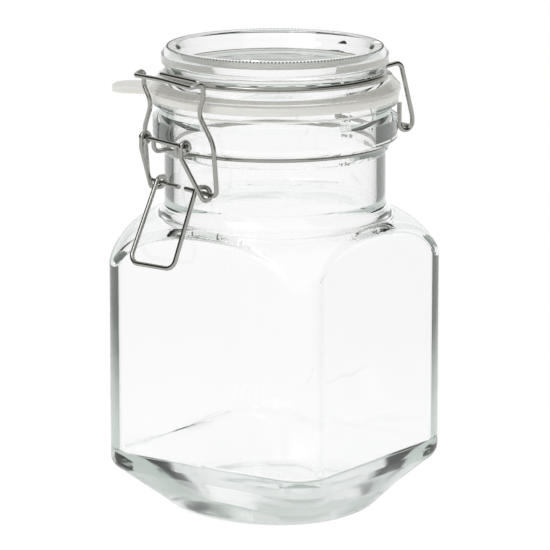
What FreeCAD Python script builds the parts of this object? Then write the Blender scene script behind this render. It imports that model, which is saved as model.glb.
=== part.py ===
"""Clip-top jar: a square glass jar, its dished glass lid, rubber gasket and over-centre wire clasp.

The frame has +Z up and its origin at the middle of the foot. The clasp is at the front (-Y), the lid's hinge
at the back (+Y), and every pivot runs along X. All sizes are in millimetres.
"""

import FreeCAD
import Part
import Sketcher

import math
import os

from FreeCAD import Placement, Rotation, Vector

# Driving sizes, each written once. Heights stack from the foot up, and widths build on the body or the neck.
SIZES = [
    # Body of the jar: a rounded square, turned by body_turn degrees about Z from the clasp's plane.
    ("body_half", 49.0), ("corner_radius", 12.0), ("body_turn", 18.5), ("body_base", 18.2),
    ("lower_round", 6.0), ("shoulder_start", 86.6), ("shoulder_radius", 30.0), ("corner_reach", 17.3),
    ("shoulder_rise", 28.7), ("arch_round", 3.5), ("flare_reach", 3.5), ("neck_flare", 6.0),
    ("flare_rise", 5.8),
    # Foot, walls and floor.
    ("foot_inset", 10.5), ("foot_round", 6.0), ("punt_inset", 8.5), ("punt_depth", 1.2), ("wall", 3.4),
    ("floor_height", 9.0), ("floor_inset", 3.5), ("cavity_rise", 5.0), ("cavity_round", 3.0),
    ("hollow_round", 2.0),
    # Neck, wire seat, ring band and sealing rim.
    ("neck_inset", 6.5), ("neck_wall", 3.5), ("neck_length", 17.8), ("bead_depth", 1.1),
    ("bead_rise", 1.6), ("bead_fall", 1.2), ("seat_height", 2.1), ("band_depth", 4.5),
    ("band_chamfer", 1.0), ("band_height", 8.9), ("waist_depth", 2.3), ("waist_slope", 2.0),
    ("waist_height", 2.2), ("rim_depth", 4.8), ("rim_slope", 1.4), ("rim_height", 1.8), ("rim_round", 0.6),
    # Gasket, with its pull tab tab_turn degrees round from the front.
    ("gasket_thickness", 3.0), ("gasket_inset", 0.4), ("gasket_proud", 0.3), ("gasket_round", 0.8),
    ("tab_length", 16.4), ("tab_half", 8.5), ("tab_corner", 6.5), ("tab_turn", -50.0),
    ("tab_thickness", 2.4), ("tab_overlap", 3.0),
    # Lid.
    ("plug_gap", 1.8), ("plug_wall", 3.4), ("plug_depth", 0.7), ("underside_rise", 4.0),
    ("flange_depth", 5.6), ("flange_edge", 1.4), ("flange_rise", 5.4), ("flange_shelf", 3.6),
    ("groove_inset", 1.3), ("groove_height", 2.1), ("bulge_depth", 2.4), ("bulge_rise", 3.1),
    ("bulge_height", 3.4), ("crown_inset", 2.2), ("crown_rise", 2.6), ("crown_width", 3.2),
    ("recess_depth", 7.2), ("recess_slope", 3.6), ("recess_round", 2.0),
    # Wire, its running clearance on a pivot bar and its seating clearance on glass.
    ("wire_radius", 0.9), ("running_gap", 0.08), ("seat_gap", 0.2),
    # Pivot bars in front of the band and behind it, on risers from the neck wire.
    ("front_pivot_gap", 4.4), ("front_pivot_rise", 3.6), ("front_pivot_half", 16.2), ("front_riser", 7.5),
    ("rear_pivot_gap", 3.7), ("rear_pivot_rise", 1.9), ("rear_pivot_half", 19.4), ("rear_riser", 11.0),
    ("riser_bend", 2.4),
    # Lid wire: the arms and their hooks, and the catch in front.
    ("hinge_arm", 16.5), ("knee_gap", 1.0), ("knee_rise", 2.2), ("knee_bend", 3.0), ("arm_bend", 12.0),
    ("hook_radius", 3.2), ("hook_tail", 8.0), ("catch_half", 16.0), ("catch_slope", 4.0),
    ("catch_gap", 3.8), ("catch_rise", 2.8),
    # Clasp lever.
    ("eye_half", 13.0), ("eye_bend", 3.0), ("coil_gap", 1.1), ("coil_drop", 14.7), ("coil_radius", 2.3),
    ("coil_inner", 12.6), ("coil_outer", 17.2), ("handle_half", 10.5), ("handle_gap", 9.2),
    ("handle_length", 28.4), ("handle_bend", 4.0), ("handle_skew", 2.7),
    # Clasp bail.
    ("bail_foot_half", 22.6), ("bail_tip", 2.2), ("bail_flare_rise", 1.7), ("bail_flare_gap", 1.6),
    ("bail_waist_half", 15.4), ("bail_waist_drop", 0.3), ("bail_waist_inset", 1.2), ("bail_top_half", 19.4),
    ("bail_top_drop", 2.4), ("bail_top_rise", 3.8), ("bail_top_inset", 0.6), ("lip_half", 18.8),
    ("lip_proud", 4.1), ("lip_rise", 2.2), ("lip_bow", 0.7), ("lip_bend", 2.0), ("lip_bow_bend", 60.0),
    ("bail_shoulder_bend", 1.6), ("bail_side_bend", 3.0), ("bail_waist_bend", 5.0),
    ("bail_flare_bend", 10.0), ("bail_bend", 2.6),
]

# Places that follow from the driving sizes, each a sum of them.
PLACES = {
    "foot_radius": "body_half - foot_inset",
    "punt_radius": "foot_radius - punt_inset",
    "floor_radius": "foot_radius - floor_inset",
    "neck_radius": "body_half - neck_inset",
    "shoulder_reach": "body_half + corner_reach",
    "shoulder_top": "shoulder_start + shoulder_rise",
    "shoulder_inner": "neck_radius + flare_reach",
    "cavity_base": "body_base + cavity_rise",
    "neck_start": "shoulder_top + flare_rise",
    "bead_low": "neck_start + neck_length",
    "bead_height": "bead_low + bead_rise",
    "seat_low": "bead_height + bead_fall",
    "band_low": "seat_low + seat_height",
    "band_top": "band_low + band_height",
    "waist_low": "band_top + waist_slope",
    "waist_top": "waist_low + waist_height",
    "rim_low": "waist_top + rim_slope",
    "rim_top": "rim_low + rim_height",
    "bore_radius": "neck_radius - neck_wall",
    "band_radius": "neck_radius + band_depth",
    "waist_radius": "neck_radius + waist_depth",
    "rim_radius": "neck_radius + rim_depth",
    "gasket_bore": "bore_radius + gasket_inset",
    "gasket_radius": "rim_radius + gasket_proud",
    "lid_seat": "rim_top + gasket_thickness",
    "plug_radius": "bore_radius - plug_gap",
    "lid_underside": "lid_seat + underside_rise",
    "flange_radius": "neck_radius + flange_depth",
    "flange_top": "lid_seat + flange_rise",
    "groove_radius": "neck_radius - groove_inset",
    "flange_inner": "groove_radius + flange_shelf",
    "bulge_radius": "groove_radius + bulge_depth",
    "bulge_low": "flange_top + groove_height + bulge_rise",
    "bulge_top": "bulge_low + bulge_height",
    "crown_radius": "bulge_radius - crown_inset",
    "lid_top": "bulge_top + crown_rise",
    "recess_radius": "crown_radius - crown_width",
    "recess_floor": "lid_top - recess_depth",
    "recess_floor_radius": "recess_radius - recess_slope",
    "front_pivot_reach": "band_radius + front_pivot_gap",
    "front_pivot_height": "band_low + front_pivot_rise",
    "rear_pivot_reach": "band_radius + rear_pivot_gap",
    "rear_pivot_height": "band_low + rear_pivot_rise",
    "hinge_knee_reach": "band_radius + knee_gap",
    "hinge_knee_height": "flange_top + knee_rise",
    "catch_reach": "groove_radius + catch_gap",
    "catch_height": "flange_top + catch_rise",
    "coil_reach": "neck_radius + coil_gap",
    "coil_height": "band_low - coil_drop",
    "handle_reach": "body_half + handle_gap",
    "handle_height": "coil_height - handle_length",
    "bail_flare_height": "front_pivot_height + bail_flare_rise",
    "bail_flare_reach": "coil_reach + bail_flare_gap",
    "bail_waist_height": "rim_top - bail_waist_drop",
    "bail_waist_reach": "flange_radius - bail_waist_inset",
    "bail_top_low": "flange_top - bail_top_drop",
    "bail_top_height": "flange_top + bail_top_rise",
    "bail_top_reach": "flange_radius - bail_top_inset",
    "lip_reach": "flange_radius + lip_proud",
    "lip_height": "flange_top + lip_rise",
}

doc = FreeCAD.newDocument("clip_top_jar")
sizes = doc.addObject("Spreadsheet::Sheet", "sizes")
for row, (alias, number) in enumerate(SIZES, start=1):
    sizes.set(f"A{row}", alias)
    sizes.set(f"B{row}", str(number))
    sizes.setAlias(f"B{row}", alias)
doc.recompute()


def terms(text, sign=1):
    """Signed words of a sum such as 'rim_top + wall', with every place spelled out in driving sizes."""
    turn, found = 1, []
    for word in text.split():
        if word in "+-":
            turn = 1 if word == "+" else -1
        elif word in PLACES:
            found += terms(PLACES[word], sign * turn)
        else:
            found.append((sign * turn, word))
    return found


def measure(text):
    """Number that a sum comes to now."""
    return sum(sign * (float(word) if word[0].isdigit() else getattr(sizes, word))
               for sign, word in terms(text))


def formula(text):
    """The same sum as an expression bound to the sheet."""
    words = [("+ " if sign > 0 else "- ") + (word if word[0].isdigit() else f"sizes.{word}")
             for sign, word in terms(text)]
    return " ".join(words).removeprefix("+ ")


def plane(body, role):
    """One of a body's own origin planes."""
    return next(f for f in body.Origin.OriginFeatures if f.Role == role)


def new_sketch(body, name, role, height=None):
    """An empty sketch on an origin plane, lifted along its normal by a bound height."""
    sketch = body.newObject("Sketcher::SketchObject", name)
    sketch.AttachmentSupport = [(plane(body, role), "")]
    sketch.MapMode = "FlatFace"
    if height:
        sketch.setExpression("AttachmentOffset.Base.z", formula(height))
    return sketch


def pin_point(sketch, geometry, end, across, along):
    """Hold one end of a piece of geometry at two bound distances from the sketch's origin."""
    for kind, text in (("DistanceX", across), ("DistanceY", along)):
        number = measure(text)
        if abs(number) < 1e-9:
            axis = -2 if kind == "DistanceX" else -1
            sketch.addConstraint(Sketcher.Constraint("PointOnObject", geometry, end, axis))
        else:
            index = sketch.addConstraint(Sketcher.Constraint(kind, -1, 1, geometry, end, number))
            sketch.setExpression(f"Constraints[{index}]", formula(text))


def arc_between(start, finish, radius):
    """Arc from start to finish: a positive radius bulges to the right of the way, a negative to the left."""
    chord = finish - start
    side = Vector(chord.y, -chord.x, 0).normalize() * math.copysign(1, radius)
    rise = abs(radius) - math.sqrt(radius * radius - chord.Length ** 2 / 4)
    return Part.Arc(start, start + chord * 0.5 + side * rise, finish)


def outline(sketch, corners):
    """Closed outline through corners (across, along[, radius of the arc to the next corner])."""
    spots = [Vector(measure(c[0]), measure(c[1]), 0) for c in corners]
    for index, corner in enumerate(corners):
        start, finish = spots[index], spots[(index + 1) % len(spots)]
        if len(corner) > 2:
            turn = -1 if corner[2].startswith("- ") else 1
            name = corner[2].removeprefix("- ")
            arc = sketch.addGeometry(arc_between(start, finish, turn * measure(name)), False)
            radius = sketch.addConstraint(Sketcher.Constraint("Radius", arc, measure(name)))
            sketch.setExpression(f"Constraints[{radius}]", formula(name))
        else:
            sketch.addGeometry(Part.LineSegment(start, finish), False)
    for index, corner in enumerate(corners):
        before = (index - 1) % len(corners)
        here = nearest_end(sketch, index, spots[index])
        there = nearest_end(sketch, before, spots[index])
        sketch.addConstraint(Sketcher.Constraint("Coincident", before, there, index, here))
        pin_point(sketch, index, here, corner[0], corner[1])


def nearest_end(sketch, geometry, spot):
    """1 or 2: the end of a piece of geometry that lies at spot."""
    first, second = ((sketch.getPoint(geometry, end) - spot).Length for end in (1, 2))
    return 1 if first < second else 2


def rounded_square(sketch, half, radius):
    """Rounded square centred on the sketch's origin, half wide to each side, with corners of a radius."""
    rim, flat = half, f"{half} {negative(radius)}"
    minus_rim, minus_flat = negative(rim), negative(flat)
    outline(sketch, [
        (rim, minus_flat), (rim, flat, radius), (flat, rim), (minus_flat, rim, radius),
        (minus_rim, flat), (minus_rim, minus_flat, radius),
        (minus_flat, minus_rim), (flat, minus_rim, radius),
    ])


def negative(text):
    """A sum with every sign turned over."""
    swapped = {"+": "-", "-": "+"}
    return "- " + " ".join(swapped.get(word, word) for word in text.split())


def revolve(body, name, corners):
    """Revolution about Z of an outline given as (radius, height) corners, and its sketch."""
    sketch = new_sketch(body, f"{name}_outline", "XZ_Plane")
    outline(sketch, corners)
    feature = body.newObject("PartDesign::Revolution", name)
    feature.Profile = sketch
    feature.ReferenceAxis = (sketch, ["V_Axis"])
    feature.Angle = 360
    sketch.Visibility = False
    doc.recompute()
    return feature


def turned_square(body, name, height, half, radius):
    """Sketch of the rounded square at a height, turned with the jar's body."""
    sketch = new_sketch(body, name, "XY_Plane", height)
    rounded_square(sketch, half, radius)
    sketch.setExpression("AttachmentOffset.Rotation.Angle", "sizes.body_turn")
    return sketch


def circle_sketch(body, name, height, radius):
    """Sketch of a circle about Z at a height."""
    sketch = new_sketch(body, name, "XY_Plane", height)
    circle = sketch.addGeometry(Part.Circle(Vector(0, 0, 0), Vector(0, 0, 1), measure(radius)), False)
    sketch.addConstraint(Sketcher.Constraint("Coincident", circle, 3, -1, 1))
    index = sketch.addConstraint(Sketcher.Constraint("Radius", circle, measure(radius)))
    sketch.setExpression(f"Constraints[{index}]", formula(radius))
    return sketch


def square_off(body, name, half, radius, height):
    """Pocket from the XY plane up to a height that leaves only what lies inside the turned square."""
    sketch = turned_square(body, f"{name}_outline", "0", half, radius)
    rim = "shoulder_reach + shoulder_reach"
    circle = sketch.addGeometry(Part.Circle(Vector(0, 0, 0), Vector(0, 0, 1), measure(rim)), False)
    sketch.addConstraint(Sketcher.Constraint("Coincident", circle, 3, -1, 1))
    index = sketch.addConstraint(Sketcher.Constraint("Radius", circle, measure(rim)))
    sketch.setExpression(f"Constraints[{index}]", formula(rim))
    pocket = body.newObject("PartDesign::Pocket", name)
    pocket.Profile = sketch
    pocket.Reversed = True
    pocket.setExpression("Length", formula(height))
    doc.recompute()
    return pocket


def loft_between(body, name, lower, upper):
    """Straight-sided loft from one sketch up to another."""
    loft = body.newObject("PartDesign::AdditiveLoft", name)
    loft.Profile = lower
    loft.Sections = [upper]
    loft.Ruled = True
    doc.recompute()
    return loft


def edges_where(feature, wanted):
    """Names of a feature's edges for which wanted(edge) holds."""
    return [f"Edge{n}" for n, edge in enumerate(feature.Shape.Edges, start=1) if wanted(edge)]


def fillet(body, name, base, radius, wanted):
    """Fillet of bound radius on the wanted edges of base."""
    feature = body.newObject("PartDesign::Fillet", name)
    feature.Base = (base, edges_where(base, wanted))
    feature.setExpression("Radius", formula(radius))
    doc.recompute()
    return feature


def lies_at(height):
    """Test for edges that lie flat at a height."""
    level = measure(height)
    return lambda edge: abs(edge.BoundBox.ZMin - level) < 1e-3 and abs(edge.BoundBox.ZMax - level) < 1e-3


def climbs_above(height):
    """Test for the edges of the arches, which climb from a height to below the neck."""
    low, high, reach = measure(height), measure("shoulder_top"), measure("shoulder_inner")
    return lambda edge: (low < edge.BoundBox.ZMax < high and edge.BoundBox.ZMin > low - 1
                         and min(math.hypot(v.X, v.Y) for v in edge.Vertexes) > reach)


def jar_blank():
    """Outside of the jar: a turned form squared off below the neck, on a loft down to the round foot."""
    body = doc.addObject("PartDesign::Body", "jar_blank")
    revolve(body, "blank", [
        ("0", "body_base"),
        ("shoulder_reach", "body_base"),
        ("shoulder_reach", "shoulder_start", "shoulder_radius"),
        ("shoulder_inner", "shoulder_top", "- neck_flare"),
        ("neck_radius", "neck_start"),
        ("neck_radius", "bead_low"),
        ("neck_radius + bead_depth", "bead_height"),
        ("neck_radius", "seat_low"),
        ("neck_radius", "band_low"),
        ("band_radius - band_chamfer", "band_low"),
        ("band_radius", "band_low + band_chamfer"),
        ("band_radius", "band_top"),
        ("waist_radius", "waist_low"),
        ("waist_radius", "waist_top"),
        ("rim_radius", "rim_low"),
        ("rim_radius", "rim_top"),
        ("0", "rim_top"),
    ])
    squared = square_off(body, "squared_sides", "body_half", "corner_radius", "shoulder_top")
    fillet(body, "arches", squared, "arch_round", climbs_above("shoulder_start"))
    foot = circle_sketch(body, "foot_outline", "0", "foot_radius")
    base = turned_square(body, "base_outline", "body_base", "body_half", "corner_radius")
    lofted = loft_between(body, "underside", foot, base)
    rounded = fillet(body, "lower_edge", lofted, "lower_round", lies_at("body_base"))
    fillet(body, "foot_edge", rounded, "foot_round", lies_at("0"))
    return body


def jar_cavity():
    """Inside of the jar, one wall inside the blank, with its own round floor."""
    body = doc.addObject("PartDesign::Body", "jar_cavity")
    revolve(body, "hollow", [
        ("0", "cavity_base"),
        ("shoulder_reach - wall", "cavity_base"),
        ("shoulder_reach - wall", "shoulder_start", "shoulder_radius - wall"),
        ("shoulder_inner - wall", "shoulder_top - wall", "- neck_flare"),
        ("bore_radius", "neck_start"),
        ("bore_radius", "rim_top + wall"),
        ("0", "rim_top + wall"),
    ])
    squared = square_off(body, "hollow_sides", "body_half - wall", "corner_radius - wall", "shoulder_top")
    fillet(body, "hollow_arches", squared, "hollow_round", climbs_above("shoulder_start"))
    floor = circle_sketch(body, "floor_outline", "floor_height", "floor_radius")
    base = turned_square(body, "hollow_base", "cavity_base", "body_half - wall", "corner_radius - wall")
    lofted = loft_between(body, "hollow_floor", floor, base)
    rounded = fillet(body, "hollow_edge", lofted, "hollow_round", lies_at("cavity_base"))
    fillet(body, "floor_edge", rounded, "cavity_round", lies_at("floor_height"))
    return body


def make_jar():
    """Jar glass: the blank less its cavity, and less the shallow hollow under the foot."""
    blank, cavity = jar_blank(), jar_cavity()
    hollow = doc.addObject("Part::Cut", "hollow_jar")
    hollow.Base, hollow.Tool = blank, cavity
    punt = doc.addObject("Part::Cone", "punt")
    punt.setExpression("Radius1", formula("punt_radius"))
    punt.setExpression("Radius2", formula("punt_radius - punt_depth"))
    punt.setExpression("Height", formula("punt_depth"))
    jar = doc.addObject("Part::Cut", "jar_glass")
    jar.Base, jar.Tool = hollow, punt
    doc.recompute()
    return jar


def make_lid():
    """Lid glass: a dished disc with a flange, a wire groove, a rounded rim and a plug that centres it."""
    body = doc.addObject("PartDesign::Body", "lid_glass")
    turned = revolve(body, "lid", [
        ("0", "lid_underside"),
        ("plug_radius - plug_wall", "lid_underside"),
        ("plug_radius - plug_wall", "rim_top - plug_depth"),
        ("plug_radius", "rim_top - plug_depth"),
        ("plug_radius", "lid_seat"),
        ("flange_radius", "lid_seat"),
        ("flange_radius", "lid_seat + flange_edge"),
        ("flange_inner", "flange_top"),
        ("groove_radius", "flange_top"),
        ("groove_radius", "flange_top + groove_height"),
        ("bulge_radius", "bulge_low"),
        ("bulge_radius", "bulge_top"),
        ("crown_radius", "lid_top"),
        ("recess_radius", "lid_top"),
        ("recess_floor_radius", "recess_floor"),
        ("0", "recess_floor"),
    ])
    rim = fillet(body, "lid_rim", turned, "rim_round", lies_at("lid_top"))
    fillet(body, "lid_dish", rim, "recess_round", lies_at("recess_floor"))
    return body


def make_gasket():
    """Rubber gasket: a flat ring under the lid's flange, with a pull tab to one side."""
    ring = doc.addObject("PartDesign::Body", "gasket_ring")
    turned = revolve(ring, "ring", [
        ("gasket_bore", "rim_top"),
        ("gasket_radius", "rim_top"),
        ("gasket_radius", "lid_seat"),
        ("gasket_bore", "lid_seat"),
    ])
    rim = measure("gasket_radius")
    fillet(ring, "ring_edges", turned, "gasket_round", lambda edge: abs(edge.BoundBox.XMax - rim) < 1e-3)
    tab = doc.addObject("PartDesign::Body", "gasket_tab")
    sketch = new_sketch(tab, "tab_outline", "XY_Plane", "rim_top")
    sketch.setExpression("AttachmentOffset.Rotation.Angle", "sizes.tab_turn")
    tip, root = "- gasket_radius - tab_length", "- gasket_bore - tab_overlap"
    outline(sketch, [
        ("- tab_half", f"{tip} + tab_corner", "tab_corner"),
        ("tab_corner - tab_half", tip),
        ("tab_half - tab_corner", tip, "tab_corner"),
        ("tab_half", f"{tip} + tab_corner"),
        ("tab_half", root),
        ("- tab_half", root),
    ])
    pad = tab.newObject("PartDesign::Pad", "tab")
    pad.Profile = sketch
    pad.setExpression("Length", formula("tab_thickness"))
    gasket = doc.addObject("Part::Fuse", "gasket")
    gasket.Base, gasket.Tool = ring, tab
    doc.recompute()
    return gasket


def bent_path(points, bend):
    """Wire through points, every corner rounded by an arc of radius bend unless the point has its own."""
    spots = [Vector(*point[:3]) for point in points]
    edges, last = [], spots[0]
    for index in range(1, len(spots) - 1):
        before, here, after = spots[index - 1], spots[index], spots[index + 1]
        radius = points[index][3] if len(points[index]) > 3 else bend
        arrive, leave = (here - before).normalize(), (after - here).normalize()
        reach = radius * math.tan(arrive.getAngle(leave) / 2)
        start, finish = here - arrive * reach, here + leave * reach
        middle = here + (leave - arrive).normalize() * (math.hypot(radius, reach) - radius)
        if (start - last).Length > 1e-4:
            edges.append(Part.makeLine(last, start))
        edges.append(Part.Arc(start, middle, finish).toShape())
        last = finish
    if (spots[-1] - last).Length > 1e-4:
        edges.append(Part.makeLine(last, spots[-1]))
    return Part.Wire(edges)


def pipe(path):
    """Solid round wire along a path."""
    start = path.Edges[0]
    section = Part.Wire(Part.makeCircle(measure("wire_radius"), start.valueAt(start.FirstParameter),
                                        start.tangentAt(start.FirstParameter)))
    return path.makePipeShell([section], True, False)


def both_sides(half):
    """Whole route from its right half: the same points mirrored, last first, then the half."""
    mirrored = [(-point[0], *point[1:]) for point in reversed(half) if point[0] > 0]
    return mirrored + half


def wire_part(name, solids):
    """Part::Feature of one fused solid."""
    feature = doc.addObject("Part::Feature", name)
    shape = solids[0].multiFuse(solids[1:]) if len(solids) > 1 else solids[0]
    feature.Shape = shape.removeSplitter()
    return feature


def ring_wire(radius, height):
    """Closed ring of wire about Z."""
    return Part.makeTorus(radius, measure("wire_radius"), Vector(0, 0, height))


def pivot_bracket(side, reach, height, half, riser, ring_radius, ring_height):
    """Straight pivot bar along X at the front (side -1) or back (side 1), on two risers from a ring."""
    left_end = Vector(-half, side * reach, height)
    bar = Part.makeCylinder(measure("wire_radius"), 2 * half, left_end, Vector(1, 0, 0))
    solids = [bar]
    root = side * math.sqrt(ring_radius ** 2 - riser ** 2)
    for across in (-riser, riser):
        route = [(across, root, ring_height), (across, side * reach, ring_height),
                 (across, side * reach, height)]
        solids.append(pipe(bent_path(route, measure("riser_bend"))))
    return solids


def make_neck_wire():
    """Neck wire: a ring seated under the jar's band, the clasp's pivot bar in front, the lid's behind."""
    ring = measure("neck_radius + wire_radius + seat_gap")
    height = measure("band_low - wire_radius - running_gap")
    front = pivot_bracket(-1, measure("front_pivot_reach"), measure("front_pivot_height"),
                          measure("front_pivot_half"), measure("front_riser"), ring, height)
    rear = pivot_bracket(1, measure("rear_pivot_reach"), measure("rear_pivot_height"),
                         measure("rear_pivot_half"), measure("rear_riser"), ring, height)
    return wire_part("neck_wire", [ring_wire(ring, height)] + front + rear)


def make_lid_wire():
    """Lid wire: a ring in the lid's groove, a catch for the bail in front and two hooked arms behind."""
    ring = measure("groove_radius + wire_radius + running_gap")
    height = measure("flange_top + wire_radius + running_gap")
    half, reach, lift = measure("catch_half"), measure("catch_reach"), measure("catch_height")
    catch = both_sides([
        (half - measure("catch_slope"), -reach, lift),
        (half, -math.sqrt(ring ** 2 - half ** 2), height),
    ])
    solids = [ring_wire(ring, height), pipe(bent_path(catch, measure("bail_bend")))]
    arm, hook = measure("hinge_arm"), measure("hook_radius")
    bar_y, bar_z = measure("rear_pivot_reach"), measure("rear_pivot_height")
    bottom = bar_z - measure("wire_radius + wire_radius + running_gap")
    for across in (-arm, arm):
        route = [
            (across, math.sqrt(ring ** 2 - arm ** 2), height),
            (across, measure("hinge_knee_reach"), measure("hinge_knee_height"), measure("knee_bend")),
            (across, bar_y + hook, bar_z + hook, measure("arm_bend")),
            (across, bar_y + hook, bottom, hook - 0.01),
            (across, bar_y - hook, bottom, hook - 0.01),
            (across, bar_y - hook, bottom + hook + measure("hook_tail")),
        ]
        solids.append(pipe(bent_path(route, hook)))
    return wire_part("lid_wire", solids)


def make_lever():
    """Clasp lever: on each side an eye on the front bar, an arm, a one-turn coil and half of the handle.

    The handle's foot is skewed a little, so that it lies along the turned face of the jar behind it.
    """
    eye = measure("wire_radius + wire_radius + running_gap")
    eye_x, bar_y, bar_z = measure("eye_half"), -measure("front_pivot_reach"), measure("front_pivot_height")
    coil, coil_y, coil_z = measure("coil_radius"), -measure("coil_reach"), measure("coil_height")
    low, high = measure("coil_inner"), measure("coil_outer")
    step = (high - low) / 3
    turn, eye_turn = coil - 0.02, eye - 0.01
    half = [
        (measure("handle_half"), -measure("handle_reach"), measure("handle_height"), measure("handle_bend")),
        (low, coil_y - coil, coil_z + coil, turn),
        (low + step, coil_y + coil, coil_z + coil, turn),
        (low + 2 * step, coil_y + coil, coil_z - coil, turn),
        (high, coil_y - coil, coil_z - coil, turn),
        (eye_x, bar_y - eye, bar_z - 2 * eye, measure("eye_bend")),
        (eye_x, bar_y - eye, bar_z + eye, eye_turn),
        (eye_x, bar_y + eye, bar_z + eye, eye_turn),
        (eye_x, bar_y + eye, bar_z - eye, eye_turn),
        (eye_x, bar_y, bar_z - eye),
    ]
    route = both_sides(half)
    skew = measure("handle_skew")
    bottom = slice(len(half) - 1, len(half) + 1)
    route[bottom] = [(x, y + math.copysign(skew, x), z, bend) for x, y, z, bend in route[bottom]]
    return wire_part("clasp_lever", [pipe(bent_path(route, turn))])


def make_bail():
    """Clasp bail: a lip over the lid's catch, sides drawn in at a waist, tips turned in through the coils."""
    corners = [
        ("0", "lip_reach + lip_bow", "lip_height + lip_bow", "lip_bow_bend"),
        ("lip_half", "lip_reach", "lip_height", "lip_bend"),
        ("bail_top_half", "bail_top_reach", "bail_top_height", "bail_shoulder_bend"),
        ("bail_top_half", "bail_top_reach", "bail_top_low", "bail_side_bend"),
        ("bail_waist_half", "bail_waist_reach", "bail_waist_height", "bail_waist_bend"),
        ("bail_foot_half", "bail_flare_reach", "bail_flare_height", "bail_flare_bend"),
        ("bail_foot_half", "coil_reach", "coil_height", "bail_bend"),
        ("bail_tip", "coil_reach", "coil_height", "bail_bend"),
    ]
    half = [(measure(across), -measure(reach), measure(height), measure(bend))
            for across, reach, height, bend in corners]
    return wire_part("clasp_bail", [pipe(bent_path(both_sides(half), measure("bail_bend")))])


PARTS = [make_jar(), make_lid(), make_gasket(), make_neck_wire(), make_lid_wire(), make_lever(), make_bail()]


def check(parts):
    """Stop if any object failed, or if a part is not one valid solid."""
    for item in doc.Objects:
        if {"Invalid", "Error"} & set(item.State):
            raise SystemExit(f"{item.Name} failed: {item.State}")
    for part in parts:
        if part.Shape.isNull() or not part.Shape.isValid() or len(part.Shape.Solids) != 1:
            raise SystemExit(f"{part.Name} is not one valid solid")


check(PARTS)
os.makedirs("parts", exist_ok=True)
for part in PARTS:
    part.Label = part.Name
    part.Shape.exportStep(f"parts/{part.Label}.step")
    print(f"{part.Label}: {part.Shape.Volume / 1000:.2f} cm3")
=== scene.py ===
"""Looks for the clip-top jar: clear pressed glass, a white rubber gasket and bright drawn-steel wires.

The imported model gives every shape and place. This script finishes the surfaces, adds the stippling round
the lid's rim and the stage, and sets the camera.
"""

import math

import bpy
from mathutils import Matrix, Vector


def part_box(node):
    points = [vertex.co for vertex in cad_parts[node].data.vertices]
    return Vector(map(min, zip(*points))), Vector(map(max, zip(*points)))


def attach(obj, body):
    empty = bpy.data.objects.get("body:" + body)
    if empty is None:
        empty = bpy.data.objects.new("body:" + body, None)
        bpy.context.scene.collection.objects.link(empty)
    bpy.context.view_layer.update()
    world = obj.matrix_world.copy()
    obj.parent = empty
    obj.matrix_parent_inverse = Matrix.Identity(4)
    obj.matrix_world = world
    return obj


bl_info = {
    "name": "Clip-Top Jar",
    "version": (1, 0, 0),
    "blender": (4, 5, 0),
    "location": "3D View > Sidebar > Jar",
    "description": "Finishes and stages a clip-top jar",
    "category": "Object",
}

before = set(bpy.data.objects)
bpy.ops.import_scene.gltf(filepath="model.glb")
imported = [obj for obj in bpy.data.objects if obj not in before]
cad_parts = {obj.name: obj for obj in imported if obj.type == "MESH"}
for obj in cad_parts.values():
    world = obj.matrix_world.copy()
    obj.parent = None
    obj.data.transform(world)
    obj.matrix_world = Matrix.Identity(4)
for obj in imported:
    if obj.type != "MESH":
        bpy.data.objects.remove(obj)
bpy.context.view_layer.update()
LID_LOW, LID_HIGH = (Vector(corner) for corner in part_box("lid_glass"))
MM = 0.001

# Sockets of a Mix node that blends two colours.
FIRST_COLOUR, SECOND_COLOUR, BLENDED_COLOUR = 6, 7, 2


class GlassSettings(bpy.types.PropertyGroup):
    """Clear soda-lime glass."""

    tint: bpy.props.StringProperty(
        name="Tint", description="Colour that light takes on in thick glass, as hex", default="#a8b8af")
    tint_density: bpy.props.FloatProperty(
        name="Tint density", description="Strength of the tint for each metre of glass", default=5.0,
        min=0.0)
    refraction: bpy.props.FloatProperty(
        name="Refraction", description="Index of refraction", default=1.52, min=1.0, max=2.0)
    inner_bounces: bpy.props.IntProperty(
        name="Inner bounces", description="Reflections inside the glass before a ray leaves it", default=3,
        min=1)
    crossings: bpy.props.IntProperty(
        name="Crossings", description="Surfaces that a ray meets before it leaves the glass", default=9,
        min=1)
    foot_top: bpy.props.FloatProperty(
        name="Foot top", description="Height where the duller, chilled glass of the foot ends",
        default=19 * MM, unit="LENGTH")
    foot_fade: bpy.props.FloatProperty(
        name="Foot fade", description="Height over which the dull glass turns clear", default=3 * MM,
        min=0.0, unit="LENGTH")
    foot_frost: bpy.props.FloatProperty(
        name="Foot frost", description="Roughness of the chilled glass of the foot", default=0.14,
        min=0.0, max=1.0)
    wave_length: bpy.props.FloatProperty(
        name="Wave length", description="Width of the mould's faint waves", default=18 * MM,
        min=MM, unit="LENGTH")
    waviness: bpy.props.FloatProperty(
        name="Waviness", description="Depth of the mould's faint waves", default=0.10 * MM, min=0.0,
        unit="LENGTH")


class RimSettings(bpy.types.PropertyGroup):
    """Stippling round the crown of the lid."""

    # Painted shade: the domes are clear glass, given an opaque grey that stands in for the dark that their
    # edges bend in.
    tone: bpy.props.StringProperty(
        name="Tone", description="Grey that the tiny domes take on from the edges round them, as hex",
        default="#5f6661")
    roughness: bpy.props.FloatProperty(
        name="Roughness", description="Roughness of the domes", default=0.12, min=0.0, max=1.0)
    dots: bpy.props.IntProperty(
        name="Dots", description="Number of dots round the lid's rim", default=190, min=3)
    dot_radius: bpy.props.FloatProperty(
        name="Dot radius", description="Radius of one dot", default=0.42 * MM, min=0.0, unit="LENGTH")
    rim_inset: bpy.props.FloatProperty(
        name="Rim inset", description="From the lid's widest radius in to the ring of dots",
        default=6.9 * MM, min=0.0, unit="LENGTH")
    rim_drop: bpy.props.FloatProperty(
        name="Rim drop", description="From the lid's top down to the ring of dots", default=0.25 * MM,
        min=0.0, unit="LENGTH")


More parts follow.
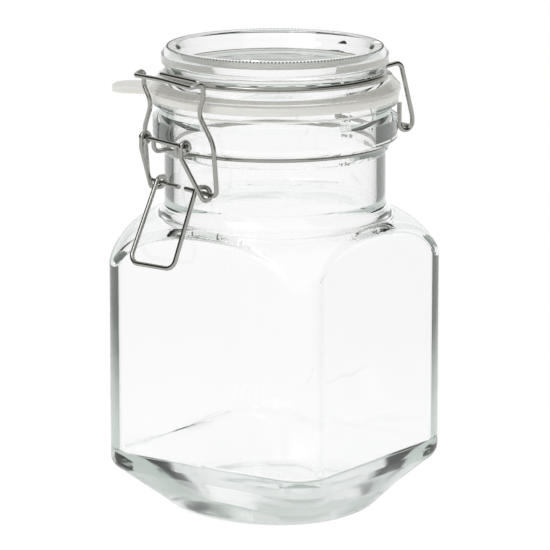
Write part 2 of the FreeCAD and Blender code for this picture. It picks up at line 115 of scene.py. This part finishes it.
class WireSettings(bpy.types.PropertyGroup):
    """Drawn stainless wire."""

    colour: bpy.props.StringProperty(name="Colour", description="Metal colour, as hex", default="#a3a29d")
    roughness: bpy.props.FloatProperty(
        name="Roughness", description="Roughness of the drawn surface", default=0.17, min=0.0, max=1.0)
    smooth_share: bpy.props.FloatProperty(
        name="Smooth share", description="Share of the roughness that the smoothest streaks have",
        default=0.7, min=0.0)
    rough_share: bpy.props.FloatProperty(
        name="Rough share", description="Share of the roughness that the dullest streaks have", default=1.4,
        min=0.0)
    grain: bpy.props.FloatProperty(
        name="Grain", description="Size of the drawing marks", default=0.6 * MM, min=0.01 * MM,
        unit="LENGTH")
    grain_depth: bpy.props.FloatProperty(
        name="Grain depth", description="Depth of the drawing marks", default=0.02 * MM, min=0.0,
        unit="LENGTH")


class RubberSettings(bpy.types.PropertyGroup):
    """Translucent white rubber."""

    colour: bpy.props.StringProperty(
        name="Colour", description="Rubber colour, as hex", default="#d3d2cc")
    shade: bpy.props.StringProperty(
        name="Shade", description="Colour of the rubber's slightly darker patches, as hex",
        default="#c8c7c1")
    patch: bpy.props.FloatProperty(
        name="Patch", description="Size of those patches", default=12 * MM, min=MM, unit="LENGTH")
    # Painted glow: the rubber gives off light in its own colour, standing in for light that comes through
    # it from behind.
    glow: bpy.props.FloatProperty(
        name="Glow", description="Light that comes through the rubber from behind, as a share of white",
        default=0.22, min=0.0, max=1.0)
    depth_share: bpy.props.FloatProperty(
        name="Depth share", description="Share of the light that enters the rubber before it comes back",
        default=0.35, min=0.0, max=1.0)
    depth: bpy.props.FloatProperty(
        name="Depth", description="How far that light goes into the rubber", default=2 * MM, min=0.0,
        unit="LENGTH")
    roughness: bpy.props.FloatProperty(
        name="Roughness", description="Roughness of the moulded surface", default=0.42, min=0.0, max=1.0)
    skin: bpy.props.FloatProperty(
        name="Skin", description="Grain of the moulded surface", default=0.5 * MM, min=0.01 * MM,
        unit="LENGTH")
    skin_depth: bpy.props.FloatProperty(
        name="Skin depth", description="Depth of that grain", default=0.02 * MM, min=0.0, unit="LENGTH")


class StageSettings(bpy.types.PropertyGroup):
    """Floor, surroundings, lamp and camera."""

    azimuth: bpy.props.FloatProperty(
        name="Azimuth", description="Camera's way round from the clasp", default=math.radians(53.7),
        subtype="ANGLE")
    elevation: bpy.props.FloatProperty(
        name="Elevation", description="Camera's height above the horizon", default=math.radians(11.9),
        subtype="ANGLE")
    distance: bpy.props.FloatProperty(
        name="Distance", description="Camera's distance from the jar's middle", default=1.728, min=0.1,
        unit="LENGTH")
    aim_height: bpy.props.FloatProperty(
        name="Aim height", description="Height that the camera and the lamp look at", default=89.9 * MM,
        unit="LENGTH")
    lens: bpy.props.FloatProperty(
        name="Lens", description="Focal length in millimetres on a 36 mm frame", default=292.9, min=1.0)
    surround: bpy.props.StringProperty(
        name="Surround", description="Colour of the white studio round the jar, as hex",
        default="#ffffff")
    fill: bpy.props.FloatProperty(
        name="Fill", description="Strength of the surroundings' light on matt surfaces", default=0.55,
        min=0.0)
    # Painted reflection: the flags exist only for glossy rays; the eye sees plain white there, so they
    # paint dark reflections on the metal.
    flag: bpy.props.StringProperty(
        name="Flag", description="Colour of the dark flags that bright metal mirrors, as hex",
        default="#30332f")
    flag_start: bpy.props.FloatProperty(
        name="Flag start", description="Share of the way to the side where those flags begin",
        default=0.45, min=0.0, max=1.0)
    flag_fade: bpy.props.FloatProperty(
        name="Flag fade", description="Share of the way over which the flags darken", default=0.14,
        min=0.0, max=1.0)
    floor_half: bpy.props.FloatProperty(
        name="Floor half", description="Half of the floor's width", default=6.0, min=0.1, unit="LENGTH")
    floor_drop: bpy.props.FloatProperty(
        name="Floor drop", description="Gap between the jar's foot and the floor", default=0.4 * MM,
        min=0.0, unit="LENGTH")
    floor_chalk: bpy.props.StringProperty(
        name="Floor chalk", description="Colour of the part of the floor that takes shadow, as hex",
        default="#f4f4f4")
    floor_glow: bpy.props.FloatProperty(
        name="Floor glow", description="Strength of the floor's own light", default=1.05, min=0.0)
    floor_glow_share: bpy.props.FloatProperty(
        name="Floor glow share", description="Share of the floor's look that is its own light",
        default=0.9, min=0.0, max=1.0)
    # Painted shade for the glass's edges: light that was reflected inside the glass sees the sky, table and
    # floor in these darker colours, not white.
    painted_sky_shade: bpy.props.StringProperty(
        name="Inner sky", description="Surroundings as seen by light reflected inside glass, as hex",
        default="#e6ebe8")
    painted_table_shade: bpy.props.StringProperty(
        name="Inner table",
        description="Table close to the jar, as seen by light reflected inside glass, as hex",
        default="#c6d0cb")
    painted_floor_shade: bpy.props.StringProperty(
        name="Inner floor", description="Floor as seen by light reflected inside glass, as hex",
        default="#666b67")
    table_near: bpy.props.FloatProperty(
        name="Table near", description="Distance from the jar's axis where the inner table ends",
        default=0.16, min=0.0, unit="LENGTH")
    table_far: bpy.props.FloatProperty(
        name="Table far", description="Distance from the jar's axis where the inner floor begins",
        default=0.40, min=0.0, unit="LENGTH")
    lamp_width: bpy.props.FloatProperty(
        name="Lamp width", description="Width of the soft lamp", default=0.7, min=0.01, unit="LENGTH")
    lamp_power: bpy.props.FloatProperty(
        name="Lamp power", description="Power of the soft lamp", default=6.0, min=0.0, unit="POWER")
    lamp_turn: bpy.props.FloatProperty(
        name="Lamp turn", description="Lamp's way round from the camera", default=math.radians(40),
        subtype="ANGLE")
    lamp_reach: bpy.props.FloatProperty(
        name="Lamp reach", description="Lamp's distance out from the jar's axis", default=1.1, min=0.1,
        unit="LENGTH")
    lamp_height: bpy.props.FloatProperty(
        name="Lamp height", description="Lamp's height above the floor", default=1.1, min=0.1,
        unit="LENGTH")


def linear(text):
    """Linear colour of an sRGB hex value."""
    channels = [int(text[i:i + 2], 16) / 255 for i in (1, 3, 5)]
    return [c / 12.92 if c <= 0.04045 else ((c + 0.055) / 1.055) ** 2.4 for c in channels] + [1.0]


def add_node(tree, kind, links=(), values=(), **settings):
    """Add a node: its settings, then (value, socket) pairs, then links as (output, socket) pairs."""
    node = tree.nodes.new(kind)
    for key, value in settings.items():
        setattr(node, key, value)
    for value, socket in values:
        node.inputs[socket].default_value = value
    for output, socket in links:
        tree.links.new(output, node.inputs[socket])
    return node


def new_material(name):
    """Empty node material and its output node."""
    material = bpy.data.materials.new(name)
    material.use_nodes = True
    material.node_tree.nodes.clear()
    return material, add_node(material.node_tree, "ShaderNodeOutputMaterial")


def clear_glass(name, settings):
    """Soda-lime glass, pressed in a mould: sharp and colourless where thin, grey-green along thick edges
    from its tint, darkened further there by the painted shade that floor and sky show to light reflected
    inside it.

    Shadow rays pass through it, because the real thing throws hardly any shade on a white table. So do rays
    that it has turned back or bent too often, which would end as black spots.
    """
    material, output = new_material(name)
    tree = material.node_tree
    where = add_node(tree, "ShaderNodeTexCoord")

    # The mould's waves are far wider than the wall is thick: edges waver, and the panels stay clear.
    waves = add_node(tree, "ShaderNodeTexNoise", [(where.outputs["Object"], "Vector")],
                     [(1 / settings.wave_length, "Scale"), (1.0, "Detail")])
    bump = add_node(tree, "ShaderNodeBump", [(waves.outputs["Fac"], "Height")],
                    [(settings.waviness, "Distance")])

    # The foot is chilled on the mould's plate and comes out slightly dull, so what it bends looks soft.
    place = add_node(tree, "ShaderNodeSeparateXYZ", [(where.outputs["Object"], "Vector")])
    frost = add_node(tree, "ShaderNodeMapRange", [(place.outputs["Z"], "Value")],
                     [(settings.foot_top - settings.foot_fade, "From Min"), (settings.foot_top, "From Max"),
                      (settings.foot_frost, "To Min"), (0.0, "To Max")], interpolation_type="SMOOTHSTEP")
    glass = add_node(tree, "ShaderNodeBsdfPrincipled",
                     [(bump.outputs["Normal"], "Normal"), (frost.outputs["Result"], "Roughness")],
                     [(linear("#ffffff"), "Base Color"), (settings.refraction, "IOR"),
                      (1.0, "Transmission Weight")])

    clear = add_node(tree, "ShaderNodeBsdfTransparent")
    path = add_node(tree, "ShaderNodeLightPath")
    shade = add_node(tree, "ShaderNodeMath", [(path.outputs["Is Shadow Ray"], 0),
                                              (path.outputs["Is Diffuse Ray"], 1)], operation="MAXIMUM")
    turned_back = add_node(tree, "ShaderNodeMath", [(path.outputs["Glossy Depth"], 0)],
                           [(settings.inner_bounces - 0.5, 1)], operation="GREATER_THAN")
    tired = add_node(tree, "ShaderNodeMath", [(path.outputs["Ray Depth"], 0)],
                     [(settings.crossings - 0.5, 1)], operation="GREATER_THAN")
    lost = add_node(tree, "ShaderNodeMath", [(turned_back.outputs[0], 0), (tired.outputs[0], 1)],
                    operation="MAXIMUM")
    passed = add_node(tree, "ShaderNodeMath", [(shade.outputs[0], 0), (lost.outputs[0], 1)],
                      operation="MAXIMUM")
    surface = add_node(tree, "ShaderNodeMixShader", [(passed.outputs[0], 0), (glass.outputs[0], 1),
                                                     (clear.outputs[0], 2)])
    depth = add_node(tree, "ShaderNodeVolumeAbsorption", (),
                     [(linear(settings.tint), "Color"), (settings.tint_density, "Density")])
    tree.links.new(surface.outputs[0], output.inputs["Surface"])
    tree.links.new(depth.outputs[0], output.inputs["Volume"])
    return material


def stippled_glass_painted_shade(settings):
    """Pressed glass domes, too small to see through: each shows as a glossy dot, painted an opaque grey as
    painted shade for the dark that their edges bend in.
    """
    material, output = new_material("stippled_glass_painted_shade")
    tree = material.node_tree
    dome = add_node(tree, "ShaderNodeBsdfPrincipled", (),
                    [(linear(settings.tone), "Base Color"), (settings.roughness, "Roughness"),
                     (1.52, "IOR")])
    tree.links.new(dome.outputs[0], output.inputs["Surface"])
    return material


def drawn_steel(settings):
    """Stainless wire, drawn through a die: bright, with fine streaks and a slightly uneven sheen."""
    material, output = new_material("drawn_steel")
    tree = material.node_tree
    where = add_node(tree, "ShaderNodeTexCoord")
    grain = add_node(tree, "ShaderNodeTexNoise", [(where.outputs["Object"], "Vector")],
                     [(1 / settings.grain, "Scale"), (4.0, "Detail")])
    sheen = add_node(tree, "ShaderNodeMapRange", [(grain.outputs["Fac"], "Value")],
                     [(settings.roughness * settings.smooth_share, "To Min"),
                      (settings.roughness * settings.rough_share, "To Max")])
    bump = add_node(tree, "ShaderNodeBump", [(grain.outputs["Fac"], "Height")],
                    [(settings.grain_depth, "Distance")])
    steel = add_node(tree, "ShaderNodeBsdfPrincipled",
                     [(sheen.outputs["Result"], "Roughness"), (bump.outputs["Normal"], "Normal")],
                     [(linear(settings.colour), "Base Color"), (1.0, "Metallic")])
    tree.links.new(steel.outputs[0], output.inputs["Surface"])
    return material


def moulded_rubber(settings):
    """Translucent white rubber, moulded: a soft satin face that lets some light in, with a painted glow in
    its own colour for light coming through from behind.
    """
    material, output = new_material("moulded_rubber")
    tree = material.node_tree
    where = add_node(tree, "ShaderNodeTexCoord")
    skin = add_node(tree, "ShaderNodeTexNoise", [(where.outputs["Object"], "Vector")],
                    [(1 / settings.skin, "Scale")])
    bump = add_node(tree, "ShaderNodeBump", [(skin.outputs["Fac"], "Height")],
                    [(settings.skin_depth, "Distance")])
    patches = add_node(tree, "ShaderNodeTexNoise", [(where.outputs["Object"], "Vector")],
                       [(1 / settings.patch, "Scale")])
    shades = add_node(tree, "ShaderNodeMix", [(patches.outputs["Fac"], 0)],
                      [(linear(settings.colour), FIRST_COLOUR), (linear(settings.shade), SECOND_COLOUR)],
                      data_type="RGBA")
    # The emission is painted glow, standing in for light that comes through the rubber from behind.
    rubber = add_node(tree, "ShaderNodeBsdfPrincipled",
                      [(bump.outputs["Normal"], "Normal"), (shades.outputs[BLENDED_COLOUR], "Base Color")],
                      [(settings.roughness, "Roughness"), (linear(settings.colour), "Emission Color"),
                       (settings.glow, "Emission Strength"), (settings.depth_share, "Subsurface Weight"),
                       (settings.depth, "Subsurface Scale"), ((1, 1, 1), "Subsurface Radius")])
    tree.links.new(rubber.outputs[0], output.inputs["Surface"])
    return material


def finish_node(name, material):
    """Give a carried-over node its finish."""
    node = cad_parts[name]
    for slot in node.material_slots:
        slot.material = material
    if not node.material_slots:
        node.data.materials.append(material)


def dots_on_a_circle(name, count, radius, height, dot_radius, material):
    """Geometry Nodes: small domes round a horizontal circle about Z, realised and baked to a plain mesh."""
    tree = bpy.data.node_groups.new(name, "GeometryNodeTree")
    tree.interface.new_socket("Geometry", in_out="OUTPUT", socket_type="NodeSocketGeometry")
    sizes = {"Count": ("NodeSocketInt", count), "Circle Radius": ("NodeSocketFloat", radius),
             "Height": ("NodeSocketFloat", height), "Dot Radius": ("NodeSocketFloat", dot_radius)}
    sockets = {label: tree.interface.new_socket(label, in_out="INPUT", socket_type=kind)
               for label, (kind, _) in sizes.items()}

    given = add_node(tree, "NodeGroupInput")
    circle = add_node(tree, "GeometryNodeMeshCircle", [(given.outputs["Count"], "Vertices"),
                                                       (given.outputs["Circle Radius"], "Radius")])
    lift = add_node(tree, "ShaderNodeCombineXYZ", [(given.outputs["Height"], "Z")])
    placed = add_node(tree, "GeometryNodeTransform", [(circle.outputs["Mesh"], "Geometry"),
                                                      (lift.outputs[0], "Translation")])
    dot = add_node(tree, "GeometryNodeMeshIcoSphere", [(given.outputs["Dot Radius"], "Radius")],
                   [(2, "Subdivisions")])
    spread = add_node(tree, "GeometryNodeInstanceOnPoints", [(placed.outputs[0], "Points"),
                                                             (dot.outputs["Mesh"], "Instance")])
    real = add_node(tree, "GeometryNodeRealizeInstances", [(spread.outputs[0], "Geometry")])
    smooth = add_node(tree, "GeometryNodeSetShadeSmooth", [(real.outputs[0], "Geometry")])
    coated = add_node(tree, "GeometryNodeSetMaterial", [(smooth.outputs[0], "Geometry")],
                      [(material, "Material")])
    add_node(tree, "NodeGroupOutput", [(coated.outputs[0], "Geometry")])

    holder = bpy.data.objects.new(name, bpy.data.meshes.new(name))
    bpy.context.collection.objects.link(holder)
    modifier = holder.modifiers.new(name, "NODES")
    modifier.node_group = tree
    for label, (_, value) in sizes.items():
        modifier[sockets[label].identifier] = value
    bpy.context.view_layer.update()
    shown = holder.evaluated_get(bpy.context.evaluated_depsgraph_get())
    holder.data = bpy.data.meshes.new_from_object(shown)
    holder.modifiers.clear()
    return holder


class JAR_OT_glass(bpy.types.Operator):
    """Finish the jar and its lid as clear pressed glass"""

    bl_idname = "jar.glass"
    bl_label = "Glass"

    def execute(self, context):
        settings = context.scene.jar_glass
        finish_node("jar_glass", clear_glass("jar_soda_lime", settings))
        finish_node("lid_glass", clear_glass("lid_soda_lime", settings))
        return {"FINISHED"}


class JAR_OT_stippling(bpy.types.Operator):
    """Add the ring of dots on the lid's crown"""

    bl_idname = "jar.stippling"
    bl_label = "Stippling"

    def execute(self, context):
        settings = context.scene.jar_rim
        widest = (LID_HIGH.x - LID_LOW.x) / 2
        ring = dots_on_a_circle("lid_stippling", settings.dots, widest - settings.rim_inset,
                                LID_HIGH.z - settings.rim_drop, settings.dot_radius,
                                stippled_glass_painted_shade(settings))
        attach(ring, "lid")
        return {"FINISHED"}


class JAR_OT_wires(bpy.types.Operator):
    """Finish the neck wire, the lid's wire and the clasp as drawn steel"""

    bl_idname = "jar.wires"
    bl_label = "Wires"

    def execute(self, context):
        steel = drawn_steel(context.scene.jar_wire)
        for name in ("neck_wire", "lid_wire", "clasp_lever", "clasp_bail"):
            finish_node(name, steel)
        return {"FINISHED"}


class JAR_OT_gasket(bpy.types.Operator):
    """Finish the gasket as translucent white rubber"""

    bl_idname = "jar.gasket"
    bl_label = "Gasket"

    def execute(self, context):
        finish_node("gasket", moulded_rubber(context.scene.jar_rubber))
        return {"FINISHED"}


class JAR_OT_stage(bpy.types.Operator):
    """Add the white floor and surroundings, the lamp and the camera"""

    bl_idname = "jar.stage"
    bl_label = "Stage"

    def execute(self, context):
        settings = context.scene.jar_stage
        white_floor(settings)
        surroundings(settings)
        soft_lamp(settings)
        camera(settings)
        return {"FINISHED"}


def painted_edge_shade_share(tree, path):
    """1 for light that was reflected inside one wall and left it again, as along glass edges, else 0: the
    rays that get the painted edge shade.
    """
    reflected = add_node(tree, "ShaderNodeMath", [(path.outputs["Glossy Depth"], 0)], [(0.5, 1)],
                         operation="GREATER_THAN")
    # One or two crossings: 1.5, give or take a little more than a half.
    crossed = add_node(tree, "ShaderNodeMath", [(path.outputs["Transmission Depth"], 0)],
                       [(1.5, 1), (0.6, 2)], operation="COMPARE")
    both = add_node(tree, "ShaderNodeMath", [(reflected.outputs[0], 0), (crossed.outputs[0], 1)],
                    operation="MULTIPLY")
    return both.outputs[0]


def white_floor(settings):
    """Wide white floor; to light that was reflected inside the glass it shows darker away from the jar, as
    painted shade for the glass's edges.
    """
    side = settings.floor_half
    mesh = bpy.data.meshes.new("floor")
    mesh.from_pydata([(-side, -side, 0), (side, -side, 0), (side, side, 0), (-side, side, 0)], [],
                     [(0, 1, 2, 3)])
    ground = bpy.data.objects.new("floor", mesh)
    ground.location.z = -settings.floor_drop
    bpy.context.collection.objects.link(ground)

    material, output = new_material("studio_floor")
    tree = material.node_tree
    glow = add_node(tree, "ShaderNodeEmission", (),
                    [(linear(settings.surround), "Color"), (settings.floor_glow, "Strength")])
    chalk = add_node(tree, "ShaderNodeBsdfDiffuse", (), [(linear(settings.floor_chalk), "Color")])
    plain = add_node(tree, "ShaderNodeMixShader", [(chalk.outputs[0], 1), (glow.outputs[0], 2)],
                     [(settings.floor_glow_share, 0)])
    where = add_node(tree, "ShaderNodeTexCoord")
    away = add_node(tree, "ShaderNodeVectorMath", [(where.outputs["Object"], 0)], operation="LENGTH")
    far = add_node(tree, "ShaderNodeMapRange", [(away.outputs["Value"], "Value")],
                   [(settings.table_near, "From Min"), (settings.table_far, "From Max")],
                   interpolation_type="SMOOTHSTEP")
    # Painted shade: light reflected inside the glass sees the floor grey-green near the jar and dark
    # further out.
    tone = add_node(tree, "ShaderNodeMix", [(far.outputs["Result"], 0)],
                    [(linear(settings.painted_table_shade), FIRST_COLOUR),
                     (linear(settings.painted_floor_shade), SECOND_COLOUR)], data_type="RGBA")
    inner = add_node(tree, "ShaderNodeEmission", [(tone.outputs[BLENDED_COLOUR], "Color")])
    path = add_node(tree, "ShaderNodeLightPath")
    shown = add_node(tree, "ShaderNodeMixShader", [(painted_edge_shade_share(tree, path), 0), (plain.outputs[0], 1),
                                                   (inner.outputs[0], 2)])
    tree.links.new(shown.outputs[0], output.inputs["Surface"])
    mesh.materials.append(material)


def surroundings(settings):
    """White studio: plain to the eye and through glass, with painted dark flags at the sides that only
    bright metal mirrors, and a painted dimmer sky for light reflected inside glass.
    """
    world = bpy.data.worlds.new("studio")
    bpy.context.scene.world = world
    world.use_nodes = True
    tree = world.node_tree
    tree.nodes.clear()
    output = add_node(tree, "ShaderNodeOutputWorld")
    path = add_node(tree, "ShaderNodeLightPath")
    plain = add_node(tree, "ShaderNodeBackground", (),
                     [(linear(settings.surround), "Color"), (1.0, "Strength")])
    fill = add_node(tree, "ShaderNodeBackground", (),
                    [(linear(settings.surround), "Color"), (settings.fill, "Strength")])
    painted_dim_sky = add_node(tree, "ShaderNodeBackground", (),
                   [(linear(settings.painted_sky_shade), "Color"), (1.0, "Strength")])

    # The painted flags stand left and right of the camera's line, and darken towards either side: painted
    # dark reflections on the metal.
    where = add_node(tree, "ShaderNodeTexCoord")
    sideways = (math.cos(settings.azimuth), math.sin(settings.azimuth), 0)
    across = add_node(tree, "ShaderNodeVectorMath", [(where.outputs["Generated"], 0)], [(sideways, 1)],
                      operation="DOT_PRODUCT")
    side = add_node(tree, "ShaderNodeMath", [(across.outputs["Value"], 0)], operation="ABSOLUTE")
    flags = add_node(tree, "ShaderNodeMapRange", [(side.outputs[0], "Value")],
                     [(settings.flag_start, "From Min"),
                      (settings.flag_start + settings.flag_fade, "From Max")],
                     interpolation_type="SMOOTHSTEP")
    tone = add_node(tree, "ShaderNodeMix", [(flags.outputs["Result"], 0)],
                    [(linear(settings.surround), FIRST_COLOUR), (linear(settings.flag), SECOND_COLOUR)],
                    data_type="RGBA")
    painted_flag_sky = add_node(tree, "ShaderNodeBackground", [(tone.outputs[BLENDED_COLOUR], "Color")])

    # What each kind of ray meets: matt surfaces the fill, mirrors the painted flags, glass and the eye
    # plain white, light reflected inside glass the painted dimmer sky.
    opaque = add_node(tree, "ShaderNodeMixShader", [(path.outputs["Is Glossy Ray"], 0),
                                                    (fill.outputs[0], 1), (painted_flag_sky.outputs[0], 2)])
    glassy = add_node(tree, "ShaderNodeMixShader", [(painted_edge_shade_share(tree, path), 0), (plain.outputs[0], 1),
                                                    (painted_dim_sky.outputs[0], 2)])
    lit = add_node(tree, "ShaderNodeMixShader", [(path.outputs["Is Transmission Ray"], 0),
                                                 (opaque.outputs[0], 1), (glassy.outputs[0], 2)])
    seen = add_node(tree, "ShaderNodeMixShader", [(path.outputs["Is Camera Ray"], 0), (lit.outputs[0], 1),
                                                  (plain.outputs[0], 2)])
    tree.links.new(seen.outputs[0], output.inputs["Surface"])


def soft_lamp(settings):
    """One large soft lamp, up and to the left of the camera."""
    lamp = bpy.data.lights.new("key", "AREA")
    lamp.size = settings.lamp_width
    lamp.energy = settings.lamp_power
    key = bpy.data.objects.new("key", lamp)
    bpy.context.collection.objects.link(key)
    turn = settings.azimuth - settings.lamp_turn
    key.location = (math.sin(turn) * settings.lamp_reach, -math.cos(turn) * settings.lamp_reach,
                    settings.lamp_height)
    aim = Vector((0, 0, settings.aim_height)) - key.location
    key.rotation_euler = aim.to_track_quat("-Z", "Y").to_euler()


def camera(settings):
    """Long-lens camera a little above the jar."""
    data = bpy.data.cameras.new("camera")
    data.lens = settings.lens
    eye = bpy.data.objects.new("camera", data)
    bpy.context.collection.objects.link(eye)
    level = math.cos(settings.elevation)
    way = Vector((math.sin(settings.azimuth) * level, -math.cos(settings.azimuth) * level,
                  math.sin(settings.elevation)))
    eye.location = Vector((0, 0, settings.aim_height)) + way * settings.distance
    eye.rotation_euler = (-way).to_track_quat("-Z", "Y").to_euler()
    data.clip_end = 4 * settings.floor_half
    bpy.context.scene.camera = eye
    bpy.context.scene.view_settings.view_transform = "Standard"


class JAR_PT_panel(bpy.types.Panel):
    """Sidebar panel with the jar's settings and steps"""

    bl_label = "Clip-Top Jar"
    bl_space_type = "VIEW_3D"
    bl_region_type = "UI"
    bl_category = "Jar"

    def draw(self, context):
        for name, _, operator in STEPS:
            box = self.layout.box()
            settings = getattr(context.scene, name)
            for key in settings.__annotations__:
                box.prop(settings, key)
            box.operator(operator)


STEPS = (("jar_glass", GlassSettings, "jar.glass"), ("jar_rim", RimSettings, "jar.stippling"),
         ("jar_wire", WireSettings, "jar.wires"), ("jar_rubber", RubberSettings, "jar.gasket"),
         ("jar_stage", StageSettings, "jar.stage"))
CLASSES = (*(group for _, group, _ in STEPS), JAR_OT_glass, JAR_OT_stippling, JAR_OT_wires, JAR_OT_gasket,
           JAR_OT_stage, JAR_PT_panel)


def register():
    for item in CLASSES:
        bpy.utils.register_class(item)
    for name, group, _ in STEPS:
        setattr(bpy.types.Scene, name, bpy.props.PointerProperty(type=group))


def unregister():
    for name, _, _ in STEPS:
        delattr(bpy.types.Scene, name)
    for item in reversed(CLASSES):
        bpy.utils.unregister_class(item)


def main():
    register()
    bpy.ops.jar.glass()
    bpy.ops.jar.stippling()
    bpy.ops.jar.wires()
    bpy.ops.jar.gasket()
    bpy.ops.jar.stage()


if __name__ == "__main__":
    main()
